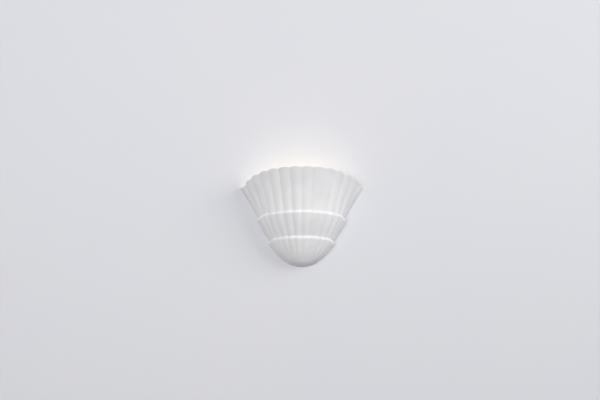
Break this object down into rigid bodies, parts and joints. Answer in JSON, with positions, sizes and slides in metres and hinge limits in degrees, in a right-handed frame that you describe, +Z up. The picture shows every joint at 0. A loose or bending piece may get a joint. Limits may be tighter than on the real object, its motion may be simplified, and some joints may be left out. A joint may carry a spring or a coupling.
{
  "type": "shell wall sconce",
  "caption": "Half-bowl shell wall light in fluted cast plaster, three tiers, open at the top, hung on a steel wall plate with one upward lamp.",
  "frame": {"origin": "on the wall, midway between the two fixing slots of the wall plate, in the plane of the plate's back", "axes": "+X to the right seen from the room, +Y into the wall, +Z up"},
  "size_m": [0.305, 0.1123, 0.2468],
  "materials": {
    "plaster": "cast plaster, sealed and painted matt off-white",
    "zinc_plated_steel": "bright zinc plating",
    "screw_steel": "zinc-plated screws, nuts and washers",
    "white_enamel": "white stoved enamel on sheet steel",
    "brass": "plain turned or pressed brass",
    "felt": "thin grey felt",
    "black_plastic": "black moulded plastic, slight gloss",
    "bush_plastic": "black flexible plastic",
    "porcelain": "glazed porcelain",
    "woven_glass": "woven glass fibre sleeving",
    "terminal_plastic": "natural moulded plastic",
    "solder": "tinned contact",
    "black_glass": "black vitreous insulator",
    "nickel_cap": "nickel-plated lamp cap",
    "lamp_plastic": "white moulded collar",
    "frosted_glass": "frosted globe",
    "clear_glass": "clear stem",
    "filament_coating": "yellow light-emitting coating",
    "black_sheath": "black wire sheath",
    "white_sheath": "white wire sheath",
    "green_sheath": "green wire sheath"
  },
  "bodies": {
    "wall_bracket": {"wall_plate": "white_enamel", "cable_bush": "bush_plastic", "lamp_arm": "zinc_plated_steel", "arm_screws": "screw_steel", "nipple": "brass", "nipple_nut": "brass", "nipple_washer": "screw_steel", "sleeving": "woven_glass", "holder_cap": "black_plastic", "holder_body": "black_plastic", "holder_disc": "porcelain", "screw_sleeve": "brass", "sleeve_contact": "brass", "centre_contact": "brass", "holder_terminals": "brass", "holder_screws": "screw_steel", "terminal_block": "terminal_plastic", "terminal_tubes": "brass", "clamp_screws": "screw_steel", "block_screw": "screw_steel", "earth_stud": "brass", "earth_washer": "screw_steel", "earth_lug": "solder", "earth_nut": "brass", "line_wire": "black_sheath", "neutral_wire": "white_sheath", "earth_wire": "green_sheath"},
    "shell": {"shell": "plaster", "hanging_strap": "zinc_plated_steel", "strap_inserts": "brass", "strap_screws": "screw_steel", "wall_pads": "felt"},
    "lamp_thread": {"lamp_contact": "solder", "lamp_insulator": "black_glass"},
    "lamp": {"lamp_cap": "nickel_cap", "lamp_collar": "lamp_plastic", "lamp_glass": "frosted_glass", "lamp_stem": "clear_glass", "lamp_filaments": "filament_coating", "lamp_leads": "solder"}
  },
  "joints": [
    {"name": "shell_lift", "type": "slide", "parent": "wall_bracket", "child": "shell", "axis": [0, 0, 1], "range_m": [0, 0.014]},
    {"name": "lamp_rise", "type": "slide", "parent": "wall_bracket", "child": "lamp_thread", "axis": [0, 0, 1], "range_m": [0, 0.014]},
    {"name": "lamp_turn", "type": "hinge", "parent": "lamp_thread", "child": "lamp", "pos_m": [0, -0.034, 0], "axis": [0, 0, 1], "range_deg": [0, 1980]}
  ],
  "couplings": [
    {"joint": "lamp_rise", "follows": "lamp_turn", "m_per_rad": 0.00040425}
  ]
}
